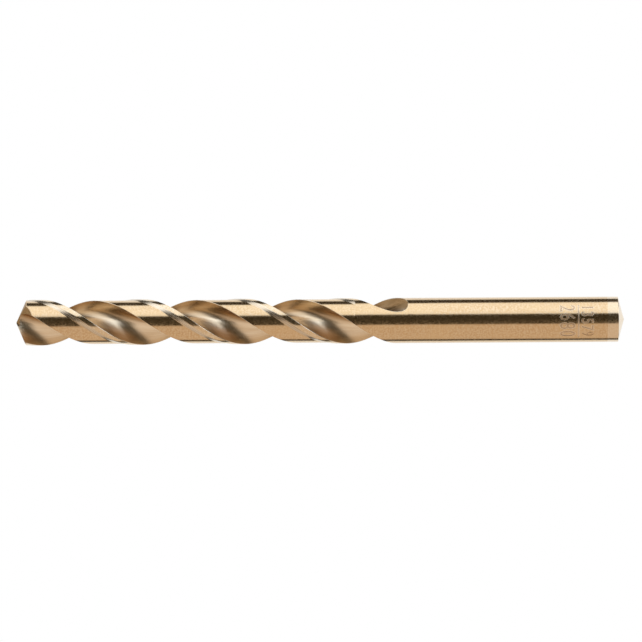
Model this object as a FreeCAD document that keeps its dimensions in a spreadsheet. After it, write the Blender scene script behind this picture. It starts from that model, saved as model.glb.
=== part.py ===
import FreeCAD, Part
import math
import os
import Sketcher

# Twist drill bit, right-hand, 10 mm, with a relieved and web-thinned 135 degree point.
# Millimetres. The axis lies along X: the point faces -X and the shank +X. The origin is on the
# axis where the cylindrical shank ends and the rear cone begins.
# "station" is the distance from the point's apex along the axis. "phase" is an angle about the
# axis, measured from +Z towards -Y; it grows with the station, which makes the helix right-hand.

V = FreeCAD.Vector
doc = FreeCAD.newDocument("TwistDrillBit")
sheet = doc.addObject("Spreadsheet::Sheet", "Sizes")

SIZES = (
    # whole bar
    ("overall_length", 133.0),
    ("cutting_diameter", 10.0),
    ("shank_diameter", 9.9),
    ("rear_cone_angle", 150.0),
    # helical flutes
    ("flute_lead", 44.5),
    ("web_thickness", 2.0),
    ("flute_arc_radius", 1.9),
    ("flute_opening_angle", 92.5),
    ("first_phase", -18.4),
    # run-out: the grinding wheel leaves the bar on an arc and is clear of it at the flute length
    ("flute_length", 85.8),
    ("wheel_radius", 16.3),
    ("runout_lean_angle", 8.5),
    # lands: narrow full-diameter margin, then a lower, cleared back that ends before the flute
    ("margin_width", 1.1),
    ("clearance_slope_angle", 12.5),
    ("clearance_diameter", 9.5),
    ("clearance_end_before_flute_end", 11.6),
    # point: two relieved conical flanks
    ("point_angle", 135.0),
    ("flank_relief_angle", 5.0),
    ("flank_cone_half_angle", 38.0),
    ("flank_cone_apex_distance", 14.0),
    # point: web-thinning notch behind each flank
    ("notch_floor_angle", 40.5),
    ("notch_floor_heading", 109.0),
    ("notch_heading", 142.0),
    ("notch_depth_at_axis", 0.1),
    ("notch_wall_offset", 0.12),
)
# Sizes that follow from the others: the rear cone's depth, the slope of the notch's valley along
# the axis, and how far the notch's floor drops for each millimetre away from the valley.
DERIVED = (
    ("rear_cone_depth", "shank_diameter / 2 / tan(rear_cone_angle / 2 * 1deg)"),
    (
        "notch_valley_slope",
        "tan(notch_floor_angle * 1deg) * cos((notch_heading - notch_floor_heading) * 1deg)",
    ),
    (
        "notch_floor_drop",
        "tan(notch_floor_angle * 1deg) * sin((notch_heading - notch_floor_heading) * 1deg)"
        " * cos(atan(notch_valley_slope))",
    ),
)
for row, (name, value) in enumerate(SIZES, start=1):
    sheet.set("A%d" % row, name)
    sheet.set("B%d" % row, str(value))
    sheet.setAlias("B%d" % row, name)
for row, (name, formula) in enumerate(DERIVED, start=len(SIZES) + 1):
    sheet.set("A%d" % row, name)
    sheet.set("B%d" % row, "=" + formula)
    sheet.setAlias("B%d" % row, name)
doc.recompute()


def size(name):
    return float(getattr(sheet, name))


OUTSIDE = 1.0  # how far the cutting shapes reach past the bar's surface
PAST_HEEL = math.radians(6)  # the clearance runs on into the flute behind the heel
POINT_REACH = 0.6  # reach of the point's cutting shapes, in cutting diameters
CONE_REACH = 2  # reach of the flank cone beyond the axis, in cutting diameters
STEPS_PER_TURN = 16
RAKE_SPANS = 4
LOFT_DEGREE = 3
ARC_SPANS = 8
ARC_TOLERANCE = 0.001
LEAST_CUT = 0.001  # cubic millimetres that every cut takes off at least

cutting_radius = size("cutting_diameter") / 2
shank_radius = size("shank_diameter") / 2
half_web = size("web_thickness") / 2
rear_cone_depth = size("rear_cone_depth")
apex_x = rear_cone_depth - size("overall_length")
turn_per_mm = 2 * math.pi / size("flute_lead")
helix_angle = math.atan(turn_per_mm * cutting_radius)
lip_slope = 1 / math.tan(math.radians(size("point_angle") / 2))
first_phase = math.radians(size("first_phase"))


def bar_point(station, along, ahead):
    """Point of the bar in the frame that turns with the helix.

    along: parallel to the cutting lip, outwards; ahead: at right angles, in the cutting direction.
    """
    phase = first_phase + turn_per_mm * station
    y = -along * math.sin(phase) + ahead * math.cos(phase)
    z = along * math.cos(phase) + ahead * math.sin(phase)
    return V(apex_x + station, y, z)


def point_direction(along, behind, axial):
    """Direction in the frame of the first cutting lip."""
    return bar_point(0, along, -behind) - bar_point(0, 0, 0) + V(axial, 0, 0)


def polar(radius, angle):
    return (radius * math.cos(angle), radius * math.sin(angle))


def wire_at(station, edges):
    """Closed wire from (kind, plane points) edges, laid across the bar at a station."""
    shapes = []
    for kind, points in edges:
        spots = [bar_point(station, *point) for point in points]
        if kind == "curve":
            curve = Part.BSplineCurve()
            curve.interpolate(spots)
        elif kind == "arc":
            curve = Part.Arc(*spots).approximateBSpline(ARC_TOLERANCE, ARC_SPANS, LOFT_DEGREE, "C1")
        else:
            curve = Part.LineSegment(*spots)
        shapes.append(curve.toShape())
    return Part.Wire(shapes)


def helix_stations(end):
    """Evenly spaced stations of a helical cutter, from in front of the bar to its end."""
    start = -2 * OUTSIDE
    count = math.ceil((end - start) / size("flute_lead") * STEPS_PER_TURN)
    return [start + (end - start) * index / count for index in range(count + 1)]


# Flute section. The rake side is the curve that meets the point's cone in a straight lip; it
# runs tangent to the web, an arc rounds the bottom, and a flat wall leads out to the heel.
def rake_point(distance):
    turned = turn_per_mm * distance * lip_slope
    return (
        distance * math.cos(turned) - half_web * math.sin(turned),
        distance * math.sin(turned) + half_web * math.cos(turned),
    )


def lip_distance(radius):
    return math.sqrt(radius ** 2 - half_web ** 2)


corner = rake_point(lip_distance(cutting_radius))
corner_angle = math.atan2(corner[1], corner[0])
opening = math.radians(size("flute_opening_angle"))
reach = cutting_radius + OUTSIDE
arc_radius = size("flute_arc_radius")
arc_height = half_web + arc_radius
heel = polar(cutting_radius, corner_angle + opening)
heel_distance = math.hypot(heel[0], heel[1] - arc_height)
heel_bearing = math.atan2(heel[1] - arc_height, heel[0])
tangent_bearing = heel_bearing + math.acos(arc_radius / heel_distance)
wall_start = (
    arc_radius * math.cos(tangent_bearing),
    arc_height + arc_radius * math.sin(tangent_bearing),
)
arc_middle_bearing = (tangent_bearing + 1.5 * math.pi) / 2
arc_middle = (
    arc_radius * math.cos(arc_middle_bearing),
    arc_height + arc_radius * math.sin(arc_middle_bearing),
)
wall_length = math.hypot(heel[0] - wall_start[0], heel[1] - wall_start[1])
wall_stretch = (wall_length + OUTSIDE) / wall_length
wall_end = (
    wall_start[0] + (heel[0] - wall_start[0]) * wall_stretch,
    wall_start[1] + (heel[1] - wall_start[1]) * wall_stretch,
)
rake_curve = [
    rake_point(lip_distance(reach) * index / RAKE_SPANS) for index in range(RAKE_SPANS, -1, -1)
]
mouth_middle = polar(reach, corner_angle + opening / 2)
flute_outline = (
    ("curve", rake_curve),
    ("arc", (rake_curve[-1], arc_middle, wall_start)),
    ("line", (wall_start, wall_end)),
    ("arc", (wall_end, mouth_middle, rake_curve[0])),
)

# Run-out. The wheel lifts out of the bar along the lean; the flute ends where the bottom of the
# section leaves the bar's surface.
wheel_radius = size("wheel_radius")
lean = math.radians(size("runout_lean_angle"))
exit_lift = (
    math.sqrt((cutting_radius + arc_radius) ** 2 - (arc_height * math.sin(lean)) ** 2)
    - arc_height * math.cos(lean)
)


def axial_travel(lift):
    """Distance along the axis in which the wheel rises by the lift."""
    return math.sqrt(lift * (2 * wheel_radius - lift)) * math.cos(helix_angle)


runout_start = size("flute_length") - axial_travel(exit_lift)
cutter_end = runout_start + axial_travel(exit_lift + OUTSIDE)


def wheel_lift(station):
    travel = max(0.0, station - runout_start) / math.cos(helix_angle)
    return wheel_radius - math.sqrt(wheel_radius ** 2 - travel ** 2)


def flute_wire(station):
    lift = wheel_lift(station)
    shift = (-lift * math.sin(lean), lift * math.cos(lean))
    moved = [
        (kind, [(point[0] + shift[0], point[1] + shift[1]) for point in points])
        for kind, points in flute_outline
    ]
    return wire_at(station, moved)


# Land clearance section: from behind the margin down a slope to the cleared back, past the heel.
clearance_end = size("flute_length") - size("clearance_end_before_flute_end")
margin_angle = size("margin_width") / math.cos(helix_angle) / cutting_radius
cleared_radius = size("clearance_diameter") / 2
margin_end = corner_angle - margin_angle
slope_end = margin_end - math.radians(size("clearance_slope_angle"))
back_end = corner_angle + opening - math.pi - PAST_HEEL
slope_edge = polar(cutting_radius, margin_end)
slope_foot = polar(cleared_radius, slope_end)
slope_top = (2 * slope_edge[0] - slope_foot[0], 2 * slope_edge[1] - slope_foot[1])
top_angle = math.atan2(slope_top[1], slope_top[0])
clearance_outline = (
    ("line", (slope_foot, slope_top)),
    ("line", (slope_top, polar(reach, top_angle))),
    ("arc", (
        polar(reach, top_angle),
        polar(reach, (top_angle + back_end) / 2),
        polar(reach, back_end),
    )),
    ("line", (polar(reach, back_end), polar(cleared_radius, back_end))),
    ("arc", (
        polar(cleared_radius, back_end),
        polar(cleared_radius, (slope_end + back_end) / 2),
        slope_foot,
    )),
)


def both_sides(label, shape):
    """The cutting shape for the first flute or land, and its copy half a turn on."""
    pair = []
    for suffix, angle in (("First", 0), ("Second", 180)):
        cutter = doc.addObject("Part::Feature", label + suffix)
        cutter.Shape = shape
        cutter.Placement = FreeCAD.Placement(V(0, 0, 0), FreeCAD.Rotation(V(1, 0, 0), angle))
        pair.append(cutter)
    return pair


def lofted(wires):
    return Part.makeLoft(wires, True, False, False, LOFT_DEGREE)


def cut(base, tools, label):
    """Takes the tools off the base one after another."""
    for index, tool in enumerate(tools):
        step = doc.addObject("Part::Cut", "%s%d" % (label, index + 1))
        step.Base = base
        step.Tool = tool
        doc.recompute()
        if step.Shape.Volume > base.Shape.Volume - LEAST_CUT:
            raise RuntimeError("%s takes nothing off" % tool.Label)
        base = step
    return base


def draw_closed(sketch, outline):
    """Straight closed outline through the plane points, joined corner to corner."""
    for start, end in zip(outline, outline[1:] + outline[:1]):
        sketch.addGeometry(Part.LineSegment(V(*start, 0), V(*end, 0)), False)
    for index in range(len(outline)):
        following = (index + 1) % len(outline)
        sketch.addConstraint(Sketcher.Constraint("Coincident", index, 2, following, 1))


def dimension(sketch, formula, *constraint):
    """Dimension of the sketch that follows the sizes by a formula in millimetres."""
    number = sketch.addConstraint(Sketcher.Constraint(*constraint))
    sketch.setExpression("Constraints[%d]" % number, "(%s) * 1mm" % formula)


# Turned blank: body slightly tapered to the shank just past the flutes, shallow cone at the rear.
body = doc.addObject("PartDesign::Body", "Blank")
front_plane = [
    item for item in body.Origin.OriginFeatures if getattr(item, "Role", "") == "XZ_Plane"
][0]
profile = body.newObject("Sketcher::SketchObject", "BlankProfile")
profile.AttachmentSupport = [(front_plane, "")]
profile.MapMode = "FlatFace"
stock_x = apex_x - OUTSIDE
draw_closed(profile, (
    (stock_x, 0.0),
    (stock_x, cutting_radius),
    (apex_x + size("flute_length") + 2 * OUTSIDE, shank_radius),
    (0.0, shank_radius),
    (rear_cone_depth, 0.0),
))
profile.addConstraint(Sketcher.Constraint("PointOnObject", 0, 1, -1))
profile.addConstraint(Sketcher.Constraint("PointOnObject", 4, 1, -1))
profile.addConstraint(Sketcher.Constraint("PointOnObject", 3, 1, -2))
profile.addConstraint(Sketcher.Constraint("Vertical", 0))
profile.addConstraint(Sketcher.Constraint("Horizontal", 2))
dimension(
    profile, "Sizes.overall_length + %g" % OUTSIDE,
    "DistanceX", 0, 1, 4, 1, rear_cone_depth - stock_x,
)
dimension(profile, "Sizes.cutting_diameter / 2", "DistanceY", 0, 1, 0, 2, cutting_radius)
dimension(
    profile, "Sizes.flute_length + %g" % (3 * OUTSIDE),
    "DistanceX", 0, 2, 1, 2, size("flute_length") + 3 * OUTSIDE,
)
dimension(profile, "Sizes.shank_diameter / 2", "DistanceY", 4, 1, 3, 1, shank_radius)
dimension(profile, "Sizes.rear_cone_depth", "DistanceX", 3, 1, 4, 1, rear_cone_depth)
turning = body.newObject("PartDesign::Revolution", "BlankTurning")
turning.Profile = profile
turning.ReferenceAxis = (profile, ["H_Axis"])
turning.Angle = 360
body.Tip = turning
doc.recompute()

# Flutes and lands
flutes = both_sides("Flute", lofted([flute_wire(at) for at in helix_stations(cutter_end)]))
clearance_wires = [wire_at(at, clearance_outline) for at in helix_stations(clearance_end)]
clearance = both_sides("LandClearance", lofted(clearance_wires))

# Conical flanks. The lip is one generating line of the cone; the cone's apex lies on the lip's
# line beyond the axis.
stock = doc.addObject("Part::Cylinder", "PointStock")
stock.setExpression("Radius", "(Sizes.cutting_diameter / 2 + %g) * 1mm" % OUTSIDE)
stock.setExpression(
    "Height", "(Sizes.cutting_diameter * %g + %g) * 1mm" % (POINT_REACH, 2 * OUTSIDE)
)
stock.Placement = FreeCAD.Placement(
    V(apex_x - 2 * OUTSIDE, 0, 0), FreeCAD.Rotation(V(0, 0, 1), V(1, 0, 0))
)
half_cone = math.radians(size("flank_cone_half_angle"))
relief = math.tan(math.radians(size("flank_relief_angle")))
lip = point_direction(1, 0, lip_slope).normalize()
outward = point_direction(lip_slope, relief, -1).normalize()
cone_axis = lip * math.cos(half_cone) - outward * math.sin(half_cone)
apex_distance = size("flank_cone_apex_distance")
cone_apex = bar_point(0, -apex_distance, half_web) - V(apex_distance * lip_slope, 0, 0)
cone_height = "(Sizes.flank_cone_apex_distance + Sizes.cutting_diameter * %g) * 1mm" % CONE_REACH
cone = doc.addObject("Part::Cone", "FlankCone")
cone.Radius1 = 0
cone.setExpression("Height", cone_height)
cone.setExpression("Radius2", cone_height + " * tan(Sizes.flank_cone_half_angle * 1deg)")
cone.Placement = FreeCAD.Placement(cone_apex, FreeCAD.Rotation(V(0, 0, 1), cone_axis))
waste = cut(stock, [cone], "FlankWaste")
flanks = both_sides("Flank", waste.Shape)

# Web-thinning notch: the floor and wall left by a wheel's corner, led along their valley.
heading = math.radians(size("notch_heading"))
valley = point_direction(
    math.cos(heading), math.sin(heading), size("notch_valley_slope")
).normalize()
side = point_direction(math.sin(heading), -math.cos(heading), 0)
up = side.cross(valley)
if up.x > 0:
    up = up * -1
notch_start = (
    bar_point(0, 0, 0)
    + side * size("notch_wall_offset")
    + V(size("notch_depth_at_axis"), 0, 0)
)
notch_span = POINT_REACH * size("cutting_diameter")
floor_drop = notch_span * size("notch_floor_drop")
notch = doc.addObject("Sketcher::SketchObject", "NotchProfile")
valley_turn = FreeCAD.Rotation(side, up, side.cross(up), "XYZ")
notch.Placement = FreeCAD.Placement(notch_start, valley_turn)
draw_closed(notch, ((0, 0), (notch_span, -floor_drop), (notch_span, notch_span), (0, notch_span)))
notch.addConstraint(Sketcher.Constraint("Coincident", 0, 1, -1, 1))
notch.addConstraint(Sketcher.Constraint("Vertical", 1))
notch.addConstraint(Sketcher.Constraint("Horizontal", 2))
notch.addConstraint(Sketcher.Constraint("Vertical", 3))
span_formula = "Sizes.cutting_diameter * %g" % POINT_REACH
dimension(notch, span_formula, "DistanceX", 0, 1, 0, 2, notch_span)
dimension(notch, span_formula, "DistanceY", 0, 1, 2, 2, notch_span)
dimension(
    notch, span_formula + " * Sizes.notch_floor_drop", "DistanceY", 0, 2, 0, 1, floor_drop
)
doc.recompute()
wheel_path = doc.addObject("Part::Extrusion", "NotchPath")
wheel_path.Base = notch
wheel_path.DirMode = "Normal"
wheel_path.Solid = True
for direction in ("LengthFwd", "LengthRev"):
    wheel_path.setExpression(direction, "(%s) * 2 * 1mm" % span_formula)
doc.recompute()
notches = both_sides("Notch", wheel_path.Shape)

drill = cut(body, flutes + clearance + flanks + notches, "Grinding")
drill.Label = "drill_bit"
doc.recompute()

for item in doc.Objects:
    if "Invalid" in item.State or "Error" in item.State:
        raise RuntimeError("%s did not compute" % item.Name)
shape = drill.Shape
if shape.isNull() or not shape.isValid() or len(shape.Solids) != 1:
    raise RuntimeError("the drill bit is not one valid solid")
os.makedirs("parts", exist_ok=True)
shape.exportStep("parts/drill_bit.step")
print("volume mm3 %.1f, faces %d" % (shape.Volume, len(shape.Faces)))
print("box %s" % shape.BoundBox)
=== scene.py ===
import math

import bmesh
import bpy
from mathutils import Matrix, Vector


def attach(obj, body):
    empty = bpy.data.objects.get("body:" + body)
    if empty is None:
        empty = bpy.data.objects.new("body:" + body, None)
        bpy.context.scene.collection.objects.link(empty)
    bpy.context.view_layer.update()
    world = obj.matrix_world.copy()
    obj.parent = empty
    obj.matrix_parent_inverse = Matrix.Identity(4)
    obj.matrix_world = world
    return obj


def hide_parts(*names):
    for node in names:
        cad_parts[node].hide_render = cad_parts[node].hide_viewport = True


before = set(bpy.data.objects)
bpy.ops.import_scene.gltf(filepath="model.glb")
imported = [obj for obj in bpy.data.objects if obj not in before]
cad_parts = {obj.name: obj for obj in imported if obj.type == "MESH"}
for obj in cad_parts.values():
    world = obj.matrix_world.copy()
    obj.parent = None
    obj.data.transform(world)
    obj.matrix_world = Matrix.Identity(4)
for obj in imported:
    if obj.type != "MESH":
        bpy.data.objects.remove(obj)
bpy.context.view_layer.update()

# Sizes in millimetres, as in the part's source
MM = 0.001
OVERALL_LENGTH = 133.0
CUTTING_RADIUS = 5.0
SHANK_RADIUS = 4.95
REAR_CONE_DEPTH = SHANK_RADIUS / math.tan(math.radians(75.0))
APEX_X = REAR_CONE_DEPTH - OVERALL_LENGTH
LEAD = 44.5
HALF_WEB = 1.0
FLUTE_ARC_RADIUS = 1.9
FLUTE_OPENING = math.radians(92.5)
FIRST_PHASE = math.radians(-18.4)
FLUTE_LENGTH = 85.8
TAPER_END = FLUTE_LENGTH + 2.0
WHEEL_RADIUS = 16.3
RUNOUT_LEAN = math.radians(8.5)
MARGIN_WIDTH = 1.1
CLEARANCE_SLOPE = math.radians(12.5)
CLEARED_RADIUS = 4.75
CLEARANCE_END = FLUTE_LENGTH - 11.6
POINT_HALF_ANGLE = math.radians(67.5)
FLANK_RELIEF = math.radians(5.0)
FLANK_CONE_HALF_ANGLE = math.radians(38.0)
FLANK_APEX_DISTANCE = 14.0
NOTCH_FLOOR = math.radians(40.5)
NOTCH_FLOOR_HEADING = math.radians(109.0)
NOTCH_HEADING = math.radians(142.0)
NOTCH_DEPTH = 0.1
NOTCH_OFFSET = 0.12

STEP_LENGTH = 0.02  # length over which the cleared back steps up to full size
EDGE_BREAK = 0.09  # honed corner along the margin's edge and the heel
REAR_BREAK_START, REAR_BREAK_END = -0.06, 0.01  # honed corner between shank and rear cone
REAR_BREAK_DROP = 0.05
LEAST_DEPTH = 0.004  # a shallower flute has ended
END_SHARE, BAND_SHARE = 0.05, 0.2  # most that a corner or a band takes of a short line
SAME_POINT = 1e-7  # metres
SAME_ANGLE = 0.001

# How finely the bar is drawn: points round one half of it and rings along it
CURVE_POINTS = 60  # in the heel's wall, in the arc and in half the rake side
WALL_REACH, RAKE_REACH = 1.5, 7.5  # wall in its own lengths, rake side in millimetres
FLUTE_POINTS = 56
MARGIN_STEPS, SLOPE_STEPS, BACK_STEPS = 5, 5, 25
CLEARED_RINGS, FULL_RINGS, RUNOUT_RINGS = 160, 16, 46
EASE_RINGS, SHANK_RINGS = 24, 10
FRONT_STATION = -1.0
PAST_RUNOUT = 0.02  # first plain ring behind the run-out
EASE_LENGTH = 9.0  # length in which the points spread evenly round the shank
REAR_CONE_RADII = (4.0, 2.5, 1.2, 0.4, 0.0)
CRISP_ANGLE = math.radians(20)  # edges between steeper faces stay sharp

LAND, FLUTE, POINT, RIM, GROOVE, SLOPE, EDGE, MARGIN = range(8)  # material slots

TURN_PER_MM = 2 * math.pi / LEAD
HELIX_ANGLE = math.atan(TURN_PER_MM * CUTTING_RADIUS)
LIP_SLOPE = 1 / math.tan(POINT_HALF_ANGLE)
MARGIN_ANGLE = MARGIN_WIDTH / math.cos(HELIX_ANGLE) / CUTTING_RADIUS
ARC_HEIGHT = HALF_WEB + FLUTE_ARC_RADIUS
EXIT_LIFT = (
    math.sqrt((CUTTING_RADIUS + FLUTE_ARC_RADIUS) ** 2 - (ARC_HEIGHT * math.sin(RUNOUT_LEAN)) ** 2)
    - ARC_HEIGHT * math.cos(RUNOUT_LEAN)
)
RUNOUT_START = FLUTE_LENGTH - math.cos(HELIX_ANGLE) * math.sqrt(
    EXIT_LIFT * (2 * WHEEL_RADIUS - EXIT_LIFT)
)


def spread(low, high, count):
    return [low + (high - low) * index / (count - 1) for index in range(count)]


def clamped(share):
    return min(1.0, max(0.0, share))


def last_true(low, high, holds, halvings):
    """Last value on the way from low to high for which the condition still holds."""
    for _ in range(halvings):
        middle = (low + high) / 2
        if holds(middle):
            low = middle
        else:
            high = middle
    return low


def plane_point(angle, radius):
    return Vector((math.cos(angle), math.sin(angle))) * radius


# Bar: rings of one section, turned and moved along the axis
def rake_point(distance):
    turned = TURN_PER_MM * distance * LIP_SLOPE
    return Vector((
        distance * math.cos(turned) - HALF_WEB * math.sin(turned),
        distance * math.sin(turned) + HALF_WEB * math.cos(turned),
    ))


def flute_outline():
    """From outside the heel, down the wall, round the bottom and up the rake side."""
    tip = rake_point(math.sqrt(CUTTING_RADIUS ** 2 - HALF_WEB ** 2))
    heel_angle = math.atan2(tip.y, tip.x) + FLUTE_OPENING
    heel = plane_point(heel_angle, CUTTING_RADIUS)
    centre = Vector((0, ARC_HEIGHT))
    to_heel = heel - centre
    bearing = math.atan2(to_heel.y, to_heel.x) + math.acos(FLUTE_ARC_RADIUS / to_heel.length)
    arc = [
        centre + plane_point(angle, FLUTE_ARC_RADIUS)
        for angle in spread(bearing, 1.5 * math.pi, CURVE_POINTS)
    ]
    wall = [arc[0] + (heel - arc[0]) * share for share in spread(WALL_REACH, 0, CURVE_POINTS)]
    rake = [rake_point(distance) for distance in spread(0, RAKE_REACH, 2 * CURVE_POINTS)]
    return wall[:-1] + arc[:-1] + rake


OUTLINE = flute_outline()


def wheel_lift(station):
    travel = max(0.0, station - RUNOUT_START) / math.cos(HELIX_ANGLE)
    return WHEEL_RADIUS - math.sqrt(WHEEL_RADIUS ** 2 - travel ** 2)


def bar_radius(station):
    return CUTTING_RADIUS + (SHANK_RADIUS - CUTTING_RADIUS) * clamped(station / TAPER_END)


def land_radius(station, behind):
    """Radius of the land at an angle behind the cutting edge."""
    full = bar_radius(station)
    stepped = clamped((station - CLEARANCE_END) / STEP_LENGTH)
    low = CLEARED_RADIUS + (full - CLEARED_RADIUS) * stepped
    return full + (low - full) * clamped((behind - MARGIN_ANGLE) / CLEARANCE_SLOPE)


def crossing(inside, outside, radius):
    """Point of the segment at the given radius."""
    def within(share):
        return (inside + (outside - inside) * share).length < radius

    return inside + (outside - inside) * last_true(0.0, 1.0, within, halvings=30)


def cut_outline(station):
    """The flute's outline where it lies inside the bar, or None once the wheel has left it."""
    lift = wheel_lift(station)
    shift = Vector((-math.sin(RUNOUT_LEAN), math.cos(RUNOUT_LEAN))) * lift
    moved = [point + shift for point in OUTLINE]
    lead_limit = bar_radius(station)
    heel_limit = land_radius(station, math.pi - FLUTE_OPENING)
    depths = [point.length for point in moved]
    lowest = depths.index(min(depths))
    if depths[lowest] > heel_limit - LEAST_DEPTH:
        return None
    first = lowest
    while depths[first - 1] < heel_limit:
        first -= 1
    last = lowest
    while depths[last + 1] < lead_limit:
        last += 1
    return (
        [crossing(moved[first], moved[first - 1], heel_limit)]
        + moved[first:last + 1]
        + [crossing(moved[last], moved[last + 1], lead_limit)]
    )


def resample(line, count):
    """Evenly spaced points, with one close to each end for the broken corner."""
    lengths = [0.0]
    for start, end in zip(line, line[1:]):
        lengths.append(lengths[-1] + (end - start).length)
    total = lengths[-1]
    step = min(EDGE_BREAK, total * END_SHARE)
    wanted = [step] + spread(2 * step, total - 2 * step, count - 2) + [total - step]
    points = []
    at = 0
    for length in wanted:
        while lengths[at + 1] < length:
            at += 1
        share = (length - lengths[at]) / (lengths[at + 1] - lengths[at])
        points.append(line[at].lerp(line[at + 1], share))
    return points


def land_angles(lead_angle, heel_angle):
    """Angles of the land's points, from the cutting edge back to the heel."""
    back = lead_angle - heel_angle
    break_angle = EDGE_BREAK / CUTTING_RADIUS
    margin_end = min(MARGIN_ANGLE, back * BAND_SHARE)
    slope_end = margin_end + min(CLEARANCE_SLOPE, back * BAND_SHARE)
    behind = (
        spread(break_angle, margin_end, MARGIN_STEPS + 1)
        + spread(margin_end, slope_end, SLOPE_STEPS + 1)[1:]
        + spread(slope_end, back - break_angle, BACK_STEPS + 1)[1:]
    )
    return [(lead_angle - angle, angle) for angle in behind]


def half_section(station, ends):
    """One flute and the land behind it, as plane points; ends keeps the last flute's ends."""
    line = cut_outline(station)
    if line:
        points = resample(line, FLUTE_POINTS)
        lead = math.atan2(line[-1].y, line[-1].x)
        heel = math.atan2(line[0].y, line[0].x) % (2 * math.pi)
        ends[:] = [lead, heel]
    else:
        lead, heel = ends
        radius = bar_radius(station)
        points = [plane_point(angle, radius) for angle in spread(heel, lead, FLUTE_POINTS)]
    for angle, behind in land_angles(lead, heel - math.pi):
        points.append(plane_point(angle, land_radius(station, behind)))
    return points


def ring_at(station, points):
    """Both halves of the section at a station, in metres."""
    phase = FIRST_PHASE + TURN_PER_MM * station
    spots = []
    for half in (1, -1):
        for point in points:
            along, ahead = point * half
            y = -along * math.sin(phase) + ahead * math.cos(phase)
            z = along * math.cos(phase) + ahead * math.sin(phase)
            spots.append(Vector((APEX_X + station, y, z)) * MM)
    return spots


def column_material(column, half, cleared):
    """Material slot of a face by its place round one half of the section."""
    if column < FLUTE_POINTS - 1:
        return FLUTE
    if column in (FLUTE_POINTS - 1, half - 1):
        return EDGE
    behind = column - FLUTE_POINTS
    if cleared and behind < MARGIN_STEPS:
        return MARGIN
    if cleared and behind < MARGIN_STEPS + SLOPE_STEPS:
        return SLOPE
    return LAND


def even_ring(x, radius, angles, share):
    """Round ring whose points have gone a share of the way to an even spacing."""
    ring = []
    for index, angle in enumerate(angles):
        even = angles[0] + 2 * math.pi * index / len(angles)
        turned = angle + (even - angle) * share
        ring.append(Vector((x, -radius * math.sin(turned), radius * math.cos(turned))) * MM)
    return ring


def bar_rings():
    """All rings from front to rear, how many the flutes reach and how many are cleared."""
    end = last_true(RUNOUT_START, TAPER_END, cut_outline, halvings=40)
    stations = spread(FRONT_STATION, CLEARANCE_END, CLEARED_RINGS)
    stations += spread(CLEARANCE_END + STEP_LENGTH, RUNOUT_START, FULL_RINGS)
    remaining = end - RUNOUT_START
    stations += [end - remaining * (1 - share) ** 2 for share in spread(0, 1, RUNOUT_RINGS)][1:]
    ends = [0.0, 0.0]
    rings = [ring_at(station, half_section(station, ends)) for station in stations]
    fluted = len(rings)
    cleared = sum(1 for station in stations if station < CLEARANCE_END)
    # Past the run-out the points ease into an even spacing round the plain shank
    angles = [math.atan2(-spot.y, spot.z) for spot in rings[-1]]
    for index in range(1, len(angles)):
        while angles[index] < angles[index - 1] - SAME_ANGLE:
            angles[index] += 2 * math.pi
    shank = spread(end + PAST_RUNOUT, end + EASE_LENGTH, EASE_RINGS)
    shank += spread(end + EASE_LENGTH, REAR_BREAK_START - APEX_X, SHANK_RINGS)[1:]
    profile = [(APEX_X + station, bar_radius(station)) for station in shank]
    profile += [(REAR_BREAK_END, SHANK_RADIUS - REAR_BREAK_DROP)]
    cone_slope = REAR_CONE_DEPTH / SHANK_RADIUS
    profile += [(REAR_CONE_DEPTH - radius * cone_slope, radius) for radius in REAR_CONE_RADII]
    for x, radius in profile:
        share = clamped((x - APEX_X - end) / EASE_LENGTH)
        rings.append(even_ring(x, radius, angles, share * share * (3 - 2 * share)))
    return rings, fluted, cleared


def tube(rings, fluted, cleared):
    """Closed skin through the rings, from the flat front to the apex at the rear."""
    mesh = bmesh.new()
    columns = len(rings[0])
    bmesh.ops.create_grid(
        mesh, x_segments=columns, y_segments=len(rings) - 1, size=0.5, matrix=Matrix()
    )
    for face in mesh.faces:
        middle = face.calc_center_median()
        column = int((middle.x + 0.5) * columns) % (columns // 2)
        row = int((middle.y + 0.5) * (len(rings) - 1))
        if row < fluted:
            face.material_index = column_material(column, columns // 2, row < cleared)
    for vert in mesh.verts:
        column = round((vert.co.x + 0.5) * columns)
        row = round((vert.co.y + 0.5) * (len(rings) - 1))
        vert.co = rings[row][column % columns]
    bmesh.ops.remove_doubles(mesh, verts=mesh.verts, dist=SAME_POINT)
    bmesh.ops.holes_fill(mesh, edges=mesh.edges, sides=0)
    bmesh.ops.recalc_face_normals(mesh, faces=mesh.faces)
    return mesh


def new_object(name, mesh):
    data = bpy.data.meshes.new(name)
    mesh.to_mesh(data)
    mesh.free()
    thing = bpy.data.objects.new(name, data)
    bpy.context.scene.collection.objects.link(thing)
    return thing


# Point: two relieved flanks and two thinning notches
FLANK_CONE_LENGTH, FLANK_CONE_SIDES = 32, 480
SLAB_CENTRE, SLAB_LENGTH, SLAB_WIDTH = 1.6, 7.2, 11  # what the flank's cone is taken off
NOTCH_SPAN, NOTCH_REACH = 6.0, 12  # wedge's size across the valley and half its length


def point_direction(along, behind, axial):
    """Direction in the frame of the first cutting lip."""
    y = -along * math.sin(FIRST_PHASE) - behind * math.cos(FIRST_PHASE)
    z = along * math.cos(FIRST_PHASE) - behind * math.sin(FIRST_PHASE)
    return Vector((axial, y, z))


def frame_matrix(origin, x_axis, y_axis, z_axis):
    turn = Matrix((x_axis, y_axis, z_axis)).transposed().to_4x4()
    return Matrix.Translation(origin * MM) @ turn


HALF_TURN = Matrix.Rotation(math.pi, 4, "X")


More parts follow.
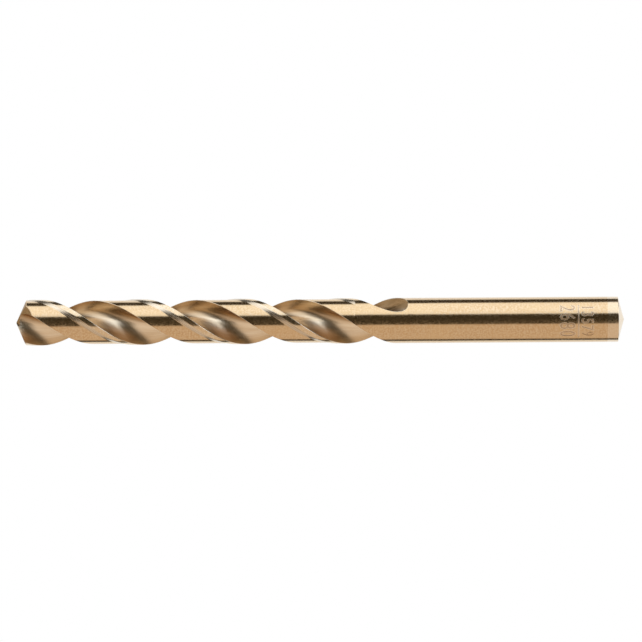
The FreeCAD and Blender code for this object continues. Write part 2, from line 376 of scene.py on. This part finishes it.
def flank_waste():
    """What the flank's cone leaves outside it in a short slab round the point."""
    lip = point_direction(1, 0, LIP_SLOPE).normalized()
    outward = point_direction(LIP_SLOPE, math.tan(FLANK_RELIEF), -1).normalized()
    axis = lip * math.cos(FLANK_CONE_HALF_ANGLE) - outward * math.sin(FLANK_CONE_HALF_ANGLE)
    apex = Vector((APEX_X - FLANK_APEX_DISTANCE * LIP_SLOPE, 0, 0))
    apex += point_direction(-FLANK_APEX_DISTANCE, -HALF_WEB, 0)
    length = FLANK_CONE_LENGTH * MM
    cone = bmesh.new()
    bmesh.ops.create_cone(
        cone, cap_ends=True, segments=FLANK_CONE_SIDES, radius1=0,
        radius2=length * math.tan(FLANK_CONE_HALF_ANGLE), depth=length,
        matrix=Matrix.Translation((0, 0, length / 2)),
    )
    bmesh.ops.remove_doubles(cone, verts=cone.verts, dist=SAME_POINT)
    side = axis.orthogonal().normalized()
    bmesh.ops.transform(
        cone, verts=cone.verts, matrix=frame_matrix(apex, side, axis.cross(side), axis)
    )
    bmesh.ops.recalc_face_normals(cone, faces=cone.faces)
    slab = bmesh.new()
    bmesh.ops.create_cube(
        slab, size=1.0,
        matrix=Matrix.Translation(((APEX_X + SLAB_CENTRE) * MM, 0, 0))
        @ Matrix.Diagonal((SLAB_LENGTH * MM, SLAB_WIDTH * MM, SLAB_WIDTH * MM, 1)),
    )
    block = new_object("block", slab)
    carve(block, [new_object("cone", cone)])
    mesh = bmesh.new()
    mesh.from_mesh(block.data)
    bpy.data.objects.remove(block)
    return mesh


def notch_wedge():
    """Wedge between the notch's floor and its wall, which meet along the valley."""
    slope = math.tan(NOTCH_FLOOR)
    off = NOTCH_HEADING - NOTCH_FLOOR_HEADING
    valley_slope = slope * math.cos(off)
    valley = point_direction(
        math.cos(NOTCH_HEADING), math.sin(NOTCH_HEADING), valley_slope
    ).normalized()
    side = point_direction(math.sin(NOTCH_HEADING), -math.cos(NOTCH_HEADING), 0)
    up = side.cross(valley)
    if up.x > 0:
        up.negate()
    drop = slope * math.sin(off) * math.cos(math.atan(valley_slope))
    start = Vector((APEX_X + NOTCH_DEPTH, 0, 0)) + side * NOTCH_OFFSET
    span = NOTCH_SPAN * MM
    mesh = bmesh.new()
    corners = [(0, 0), (span, -span * drop), (span, span), (0, span)]
    mesh.faces.new([mesh.verts.new((*corner, -NOTCH_REACH * MM)) for corner in corners])
    thicken(mesh, 2 * NOTCH_REACH * MM)
    bmesh.ops.transform(
        mesh, verts=mesh.verts, matrix=frame_matrix(start, side, up, side.cross(up))
    )
    return mesh


def thicken(mesh, depth):
    """Closed solid from the flat faces, raised along Z."""
    grown = bmesh.ops.extrude_face_region(mesh, geom=list(mesh.faces))["geom"]
    verts = [item for item in grown if isinstance(item, bmesh.types.BMVert)]
    bmesh.ops.translate(mesh, verts=verts, vec=(0, 0, depth))


def carve(bar, cutters):
    """Takes the cutters off the bar and stores the result in the bar's own mesh."""
    for index, cutter in enumerate(cutters):
        step = bar.modifiers.new("Carve%d" % index, "BOOLEAN")
        step.operation = "DIFFERENCE"
        step.solver = "EXACT"
        step.object = cutter
    seen = bar.evaluated_get(bpy.context.evaluated_depsgraph_get())
    finished = bpy.data.meshes.new_from_object(seen)
    bar.modifiers.clear()
    bar.data = finished
    for cutter in cutters:
        bpy.data.objects.remove(cutter)


# Marking: plain digits and a rule, pressed into the shank and read from the rear end
MARK_TURN = math.radians(51)  # phase of the first digit
MARK_LINES = (
    # digits, height, distance along the axis, pitch
    ("2680", 3.3, -12.75, 1.95),
    ("13579", 2.6, -8.05, 1.52),
)
DIGIT_HEIGHT, DIGIT_STRETCH = 0.7, 0.70  # digit's height in the font's size, narrowing
RULE_AT, RULE_LENGTH, RULE_HALF_WIDTH = -8.75, 7.7, 0.07
PRESSINGS = (
    # widening of the strokes, depth, material
    (0.09, 0.006, RIM),
    (0.0, 0.07, GROOVE),
)
DIGIT_CURVE_STEPS = 5
BEND_STEP, BEND_CUTS = 0.35, 27  # where the flat drawing may bend
ABOVE_SHANK = 0.1
SAME_MARK_POINT, ON_BEND = 1e-4, 1e-5  # millimetres, in the flat drawing


def digit_mesh(digit, height, widen):
    """One flat digit in millimetres, grown by a margin on all sides."""
    curve = bpy.data.curves.new("digit", "FONT")
    curve.body = digit
    curve.size = height / DIGIT_HEIGHT
    curve.offset = widen
    curve.resolution_u = DIGIT_CURVE_STEPS
    thing = bpy.data.objects.new("digit", curve)
    bpy.context.scene.collection.objects.link(thing)
    flat = bpy.data.meshes.new_from_object(
        thing.evaluated_get(bpy.context.evaluated_depsgraph_get())
    )
    mesh = bmesh.new()
    mesh.from_mesh(flat)
    bpy.data.objects.remove(thing)
    bmesh.ops.scale(mesh, verts=mesh.verts, vec=(DIGIT_STRETCH, 1, 1))
    return mesh


def rule_mesh(half_width):
    mesh = bmesh.new()
    bmesh.ops.create_grid(mesh, x_segments=1, y_segments=1, size=0.5)
    bmesh.ops.scale(mesh, verts=mesh.verts, vec=(RULE_LENGTH, 2 * half_width, 1))
    bmesh.ops.translate(mesh, verts=mesh.verts, vec=(RULE_LENGTH / 2, 0, 0))
    return mesh


def pressed(flat, at, depth, material):
    """Cutter: the flat drawing bent round the shank, reaching this deep under its surface."""
    bmesh.ops.remove_doubles(flat, verts=flat.verts, dist=SAME_MARK_POINT)
    for step in range(1, BEND_CUTS + 1):
        bmesh.ops.bisect_plane(
            flat, geom=list(flat.verts) + list(flat.edges) + list(flat.faces),
            plane_co=(step * BEND_STEP, 0, 0), plane_no=(1, 0, 0), dist=ON_BEND,
        )
    thicken(flat, ABOVE_SHANK + depth)
    for vert in flat.verts:
        turned = MARK_TURN + vert.co.x / SHANK_RADIUS
        radius = SHANK_RADIUS - depth + vert.co.z
        vert.co = Vector((
            at + vert.co.y, -radius * math.sin(turned), radius * math.cos(turned)
        )) * MM
    bmesh.ops.recalc_face_normals(flat, faces=flat.faces)
    if flat.calc_volume(signed=True) < 0:
        bmesh.ops.reverse_faces(flat, faces=flat.faces)
    for face in flat.faces:
        face.material_index = material
    return flat


def marking_cutters():
    """One cutter for all the rims and one for all the grooves."""
    cutters = []
    for widen, depth, material in PRESSINGS:
        solids = [pressed(rule_mesh(RULE_HALF_WIDTH + widen), RULE_AT, depth, material)]
        for digits, height, at, pitch in MARK_LINES:
            for index, digit in enumerate(digits):
                flat = digit_mesh(digit, height, widen)
                bmesh.ops.translate(flat, verts=flat.verts, vec=(index * pitch, 0, 0))
                solids.append(pressed(flat, at, depth, material))
        whole = bmesh.new()
        for solid in solids:
            data = bpy.data.meshes.new("solid")
            solid.to_mesh(data)
            solid.free()
            whole.from_mesh(data)
        cutters.append(whole)
    return cutters


def crisp_edges(thing, angle):
    """Smooth shading with sharp edges where faces meet at more than the angle."""
    mesh = bmesh.new()
    mesh.from_mesh(thing.data)
    bmesh.ops.remove_doubles(mesh, verts=mesh.verts, dist=2 * SAME_POINT)
    bmesh.ops.recalc_face_normals(mesh, faces=mesh.faces)
    for face in mesh.faces:
        face.smooth = True
    for edge in mesh.edges:
        edge.smooth = edge.is_manifold and edge.calc_face_angle(0) < angle
    mesh.to_mesh(thing.data)
    mesh.free()


def build_drill(materials):
    bar = new_object("drill", tube(*bar_rings()))
    meshes = []
    for make in (flank_waste, notch_wedge):
        for turn in (Matrix(), HALF_TURN):
            mesh = make()
            bmesh.ops.transform(mesh, verts=mesh.verts, matrix=turn)
            bmesh.ops.recalc_face_normals(mesh, faces=mesh.faces)
            for face in mesh.faces:
                face.material_index = POINT
            meshes.append(mesh)
    meshes += marking_cutters()
    cutters = [new_object("cutter%d" % index, mesh) for index, mesh in enumerate(meshes)]
    for thing in [bar] + cutters:
        for material in materials:
            thing.data.materials.append(material)
    carve(bar, cutters)
    crisp_edges(bar, CRISP_ANGLE)
    return bar


# Shading
class Value:
    """A node tree's socket that can be reckoned with."""

    def __init__(self, tree, socket):
        self.tree = tree
        self.socket = socket

    def math(self, operation, *others):
        maths = self.tree.nodes.new("ShaderNodeMath")
        maths.operation = operation
        for slot, value in zip(maths.inputs, (self,) + others):
            feed(self.tree, slot, value)
        return Value(self.tree, maths.outputs[0])

    def __add__(self, other):
        return self.math("ADD", other)

    __radd__ = __add__

    def __mul__(self, other):
        return self.math("MULTIPLY", other)

    __rmul__ = __mul__

    def __sub__(self, other):
        return self.math("SUBTRACT", other)

    def __rsub__(self, other):
        return (self * -1) + other

    def __truediv__(self, other):
        return self.math("DIVIDE", other)

    def __pow__(self, other):
        return self.math("POWER", other)

    def ramp(self, low, high, start=0.0, end=1.0):
        """Smooth step from start at low to end at high."""
        return node(
            self.tree, "ShaderNodeMapRange", {"interpolation_type": "SMOOTHSTEP"},
            Value=self, **{"From Min": low, "From Max": high, "To Min": start, "To Max": end}
        )


def feed(tree, slot, value):
    if isinstance(value, Value):
        tree.links.new(value.socket, slot)
    else:
        slot.default_value = value


def node(tree, kind, settings=None, output=0, **inputs):
    """Any other node: its settings, and a value or link for each named input."""
    made = tree.nodes.new(kind)
    for name, value in (settings or {}).items():
        setattr(made, name, value)
    for name, value in inputs.items():
        feed(tree, made.inputs[name], value)
    return Value(tree, made.outputs[output])


def mixed(tree, factor, first, second):
    """Colour between two colours."""
    made = tree.nodes.new("ShaderNodeMix")
    made.data_type = "RGBA"
    wanted = {"Factor": factor, "A": first, "B": second}
    for slot in made.inputs:
        if slot.enabled and slot.name in wanted:
            feed(tree, slot, wanted[slot.name])
    return Value(tree, [slot for slot in made.outputs if slot.enabled][0])


def parts_of(vector):
    """X, Y and Z of a vector socket."""
    split = vector.tree.nodes.new("ShaderNodeSeparateXYZ")
    vector.tree.links.new(vector.socket, split.inputs[0])
    return [Value(vector.tree, split.outputs[axis]) for axis in "XYZ"]


def joined(tree, x, y, z):
    return node(tree, "ShaderNodeCombineXYZ", X=x, Y=y, Z=z)


def noise(tree, vector, scale, detail=2.0):
    return node(tree, "ShaderNodeTexNoise", Vector=vector, Scale=scale, Detail=detail)


def stretched(tree, vector, scale):
    return node(tree, "ShaderNodeMapping", Vector=vector, Scale=scale)


def new_material(name):
    made = bpy.data.materials.new(name)
    made.use_nodes = True
    made.node_tree.nodes.clear()
    return made, made.node_tree


def new_metal(name):
    """Material, its node tree and the place on the object."""
    made, tree = new_material(name)
    return made, tree, node(tree, "ShaderNodeTexCoord", output="Object")


def finish_metal(tree, colour, roughness, height, bump_metres):
    """Metal surface from a colour, a roughness and a height for the fine relief."""
    shader = tree.nodes.new("ShaderNodeBsdfPrincipled")
    shader.inputs["Metallic"].default_value = 1.0
    feed(tree, shader.inputs["Base Color"], colour)
    feed(tree, shader.inputs["Roughness"], roughness)
    bump = node(tree, "ShaderNodeBump", Height=height, Strength=1.0, Distance=bump_metres)
    tree.links.new(bump.socket, shader.inputs["Normal"])
    output = tree.nodes.new("ShaderNodeOutputMaterial")
    tree.links.new(shader.outputs[0], output.inputs["Surface"])


def ground_steel(name, deep, pale):
    """Outside of the bar: fine marks round it, mottled tint, pale where a chuck held it."""
    made, tree, place = new_metal(name)
    x = parts_of(place)[0]
    marks = noise(tree, stretched(tree, place, (7000, 350, 350)), 1.0, 3.0)
    mottle = noise(tree, place, 2600, 4.0)
    cloud = noise(tree, stretched(tree, place, (90, 260, 260)), 1.0)
    tint = mixed(tree, mottle.ramp(0.38, 0.62), deep, pale)
    tint = mixed(tree, cloud.ramp(0.35, 0.7, 0.0, 0.5), tint, (0.79, 0.60, 0.36, 1))
    colour = mixed(tree, marks.ramp(0.3, 0.7, 0.0, 0.3), tint, (0.64, 0.46, 0.28, 1))
    rear = x.ramp(-2.42 * MM, -2.34 * MM)
    colour = mixed(tree, rear * 0.45, colour, (0.90, 0.81, 0.67, 1))
    roughness = mottle.ramp(0.3, 0.7, 0.13, 0.20)
    height = marks * 0.6 + mottle * 0.4
    finish_metal(tree, colour, roughness, height, 1.4e-6)
    return made


def slope_steel():
    """Slope beside the margin: bare grey grinding marks along the helix."""
    made, tree, place = new_metal("steel_slope")
    streaks = noise(tree, stretched(tree, helix_place(tree, place), (160, 6500, 6500)), 1.0, 2.0)
    colour = mixed(tree, streaks.ramp(0.3, 0.7), (0.62, 0.51, 0.38, 1), (0.82, 0.74, 0.61, 1))
    finish_metal(tree, colour, streaks.ramp(0.3, 0.7, 0.22, 0.30), streaks, 3.0e-6)
    return made


def edge_steel():
    """Broken corners at the cutting edge and the heel: near-white as a painted highlight, and
    rough.
    """
    made, tree, place = new_metal("steel_edge")
    speckle = noise(tree, place, 4000, 2.0)
    # painted highlight: near-white colour along the honed corners
    colour = mixed(tree, speckle.ramp(0.3, 0.7), (0.92, 0.82, 0.65, 1), (1.0, 0.97, 0.90, 1))
    finish_metal(tree, colour, speckle.ramp(0.3, 0.7, 0.38, 0.50), speckle, 2.0e-6)
    return made


def helix_place(tree, place):
    """The place in a frame that turns with the flutes: x, along the first lip, ahead of it."""
    x, y, z = parts_of(place)
    phase = (x / MM - APEX_X) * TURN_PER_MM + FIRST_PHASE
    cosine = phase.math("COSINE")
    sine = phase.math("SINE")
    return joined(tree, x, z * cosine - y * sine, y * cosine + z * sine)


def flute_steel():
    """Flutes: streaks along the helix; pale at the bottom, browner toward the rake edge; painted
    shade darkens the heel side of the bottom and turns the heel wall dark brown.
    """
    made, tree, place = new_metal("steel_flute")
    turning = helix_place(tree, place)
    along, ahead = parts_of(turning)[1:]
    side = along * ahead.math("SIGN")
    radius = (along * along + ahead * ahead) ** 0.5
    # painted shade: where the heel wall rises out of the flute's bottom
    heel_wall_shade_mask = side.ramp(-0.6 * MM, -1.3 * MM) * radius.ramp(1.3 * MM, 2.6 * MM)
    rake_edge = side.ramp(2.0 * MM, 4.2 * MM)
    end_face = parts_of(place)[0].ramp(
        (APEX_X + RUNOUT_START) * MM, (APEX_X + FLUTE_LENGTH - 4) * MM
    )
    streaks = noise(tree, stretched(tree, turning, (110, 4200, 4200)), 1.0, 3.0)
    broad = noise(tree, stretched(tree, turning, (70, 700, 700)), 1.0, 2.0)
    pale = mixed(tree, broad.ramp(0.3, 0.7), (0.90, 0.77, 0.58, 1), (1.0, 0.91, 0.75, 1))
    pale = mixed(tree, streaks.ramp(0.35, 0.75, 0.0, 0.4), pale, (0.74, 0.59, 0.41, 1))
    # colour of the painted shade on the heel wall
    heel_shade_brown = mixed(tree, broad.ramp(0.3, 0.7), (0.38, 0.23, 0.11, 1), (0.49, 0.34, 0.19, 1))
    colour = mixed(tree, rake_edge * 0.75, pale, (0.72, 0.52, 0.29, 1))
    # painted shade: the heel side of the flute's bottom turns darker
    colour = mixed(tree, side.ramp(0.3 * MM, -0.9 * MM) * 0.9, colour, (0.55, 0.42, 0.28, 1))
    colour = mixed(tree, heel_wall_shade_mask, colour, heel_shade_brown)
    # darker colour toward the end of the flute's run-out
    darker_runout_colour = mixed(tree, streaks.ramp(0.3, 0.7), (0.30, 0.23, 0.15, 1), (0.44, 0.35, 0.24, 1))
    colour = mixed(tree, end_face * 0.9, colour, darker_runout_colour)
    finish_metal(tree, colour, streaks.ramp(0.3, 0.7, 0.28, 0.36), streaks, 1.5e-6)
    return made


def point_steel():
    """Flanks and notches: ground across, with a painted highlight as a bright line along the rim.
    """
    made, tree, place = new_metal("steel_point")
    x, y, z = parts_of(place)
    radius = (y * y + z * z) ** 0.5
    marks = noise(tree, stretched(tree, place, (500, 500, 6500)), 1.0, 3.0)
    mottle = noise(tree, place, 2400, 3.0)
    tint = mixed(tree, mottle.ramp(0.3, 0.7), (0.27, 0.20, 0.12, 1), (0.38, 0.29, 0.18, 1))
    # painted highlight: near-white colour along the flank's rim
    rim = radius.ramp(4.5 * MM, 4.6 * MM)
    colour = mixed(tree, rim, tint, (1.0, 0.95, 0.85, 1))
    roughness = rim * 0.2 + 0.34
    finish_metal(tree, colour, roughness, marks * 0.7 + mottle * 0.3, 3.0e-6)
    return made


def mark_steel(name, light, dark, roughness):
    """Pressed marking: the band round its strokes or the bottom of its groove."""
    made, tree, place = new_metal(name)
    speckle = noise(tree, place, 5200, 2.0)
    finish_metal(tree, mixed(tree, speckle.ramp(0.3, 0.7), dark, light), roughness, speckle, 4e-6)
    return made


def floor_material():
    """Pale floor; the camera sees it as plain white."""
    made, tree = new_material("floor_white")
    diffuse = tree.nodes.new("ShaderNodeBsdfDiffuse")
    diffuse.inputs["Color"].default_value = (0.8, 0.8, 0.8, 1)
    plain = tree.nodes.new("ShaderNodeEmission")
    path = tree.nodes.new("ShaderNodeLightPath")
    both = tree.nodes.new("ShaderNodeMixShader")
    tree.links.new(path.outputs["Is Camera Ray"], both.inputs[0])
    tree.links.new(diffuse.outputs[0], both.inputs[1])
    tree.links.new(plain.outputs[0], both.inputs[2])
    output = tree.nodes.new("ShaderNodeOutputMaterial")
    tree.links.new(both.outputs[0], output.inputs["Surface"])
    return made


# Studio: brightness of what stands round the bar
BACKDROP = (1.0, 1.0, 1.0, 1)
LAMP = (1.28, 1.28, 1.28, 1)
SIDE_LAMP = (1.48, 1.48, 1.48, 1)
TABLE = (0.73, 0.58, 0.45, 1)
SIDE_TABLE = (0.68, 0.54, 0.42, 1)
GAP = (0.045, 0.034, 0.018, 1)
POINT_SIDE = (0.80, 0.62, 0.42, 1)
# Where it stands, in degrees up from the camera's side round the bar's axis
LAMP_FRONT, LAMP_BACK = 31, 98.5
TABLE_DROP, TABLE_BACK = 20, (-117, -109)
BACKDROP_START = (125, 134)
# Where it changes along the bar, as the x of the direction seen from it
OFF_MIDDLE = (0.09, 0.15)
LAMP_CORNER = 0.15
TABLE_CORNER = (-0.28, -0.2)
BACKDROP_CORNER = (-0.25, -0.45)
POINT_WALL = (-0.68, -0.85)


def light_studio():
    """Lamp overhead, table below and a dark gap between them, set out by the angle up from
    the camera's side round the bar's axis. Off the middle the lamp hangs askew."""
    world = bpy.data.worlds.new("studio")
    bpy.context.scene.world = world
    world.use_nodes = True
    tree = world.node_tree
    tree.nodes.clear()
    x, y, z = parts_of(node(tree, "ShaderNodeTexCoord", output="Generated"))
    angle = z.math("ARCTAN2", y * -1) * (180 / math.pi)
    askew = x.math("ABSOLUTE").ramp(*OFF_MIDDLE)
    past_corner = (x + LAMP_CORNER).math("MINIMUM", 0)
    table_edge = askew * x.ramp(*TABLE_CORNER) * (x * -35 + 25) - TABLE_DROP
    lamp_front = askew * (past_corner * 90 + 17) + LAMP_FRONT
    lamp_back = past_corner * 85 + LAMP_BACK
    table = (angle - table_edge).ramp(2, -4) * angle.ramp(*TABLE_BACK)
    lamp = (angle - lamp_front).ramp(-3, 3) * (angle - lamp_back).ramp(3, -3)
    behind = angle.math("ABSOLUTE").ramp(*BACKDROP_START)
    around = mixed(tree, table, GAP, mixed(tree, askew, TABLE, SIDE_TABLE))
    around = mixed(tree, lamp, around, mixed(tree, askew, LAMP, SIDE_LAMP))
    backdrop = mixed(tree, x.ramp(*BACKDROP_CORNER), BACKDROP, POINT_SIDE)
    around = mixed(tree, behind, around, backdrop)
    around = mixed(tree, x.ramp(*POINT_WALL), around, POINT_SIDE)
    path = tree.nodes.new("ShaderNodeLightPath")
    glossy = Value(tree, path.outputs["Is Glossy Ray"])
    seen = mixed(tree, glossy, (1, 1, 1, 1), around)
    background = tree.nodes.new("ShaderNodeBackground")
    tree.links.new(seen.socket, background.inputs["Color"])
    output = tree.nodes.new("ShaderNodeOutputWorld")
    tree.links.new(background.outputs[0], output.inputs["Surface"])


# Floor and camera, in metres where not said otherwise
FLOOR_REACH, FLOOR_HEIGHT = 3.0, -0.005
PICTURE_WIDTH = 642 / 4.573  # millimetres at the bar's axis
SENSOR_WIDTH = 36  # millimetres
CAMERA_X = -64.92  # millimetres
CAMERA_DISTANCE = 1.5
CAMERA_ROLL = math.radians(-0.344)
NEAREST_SEEN = 0.01


def lay_floor():
    mesh = bmesh.new()
    bmesh.ops.create_grid(
        mesh, x_segments=1, y_segments=1, size=FLOOR_REACH,
        matrix=Matrix.Translation((0, 0, FLOOR_HEIGHT)),
    )
    floor = new_object("floor", mesh)
    floor.data.materials.append(floor_material())
    floor.visible_glossy = False


def set_camera():
    """Level view from the front, rolled a little."""
    lens = bpy.data.cameras.new("camera")
    lens.sensor_width = SENSOR_WIDTH
    lens.lens = SENSOR_WIDTH * CAMERA_DISTANCE / (PICTURE_WIDTH * MM)
    lens.clip_start = NEAREST_SEEN
    camera = bpy.data.objects.new("camera", lens)
    bpy.context.scene.collection.objects.link(camera)
    camera.matrix_world = (
        Matrix.Translation((CAMERA_X * MM, -CAMERA_DISTANCE, 0))
        @ Matrix.Rotation(math.pi / 2, 4, "X")
        @ Matrix.Rotation(CAMERA_ROLL, 4, "Z")
    )
    bpy.context.scene.camera = camera


drill = build_drill([
    ground_steel("steel_ground", (0.69, 0.50, 0.29, 1), (0.79, 0.63, 0.43, 1)),
    flute_steel(),
    point_steel(),
    mark_steel("steel_mark_rim", (1.0, 0.95, 0.85, 1), (0.95, 0.85, 0.70, 1), 0.42),
    mark_steel("steel_mark_groove", (0.78, 0.61, 0.42, 1), (0.60, 0.44, 0.28, 1), 0.45),
    slope_steel(),
    edge_steel(),
    ground_steel("steel_margin", (0.77, 0.62, 0.42, 1), (0.88, 0.78, 0.62, 1)),
])
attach(drill, "root")
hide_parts("drill_bit")
lay_floor()
light_studio()
set_camera()
bpy.context.scene.view_settings.view_transform = "Standard"
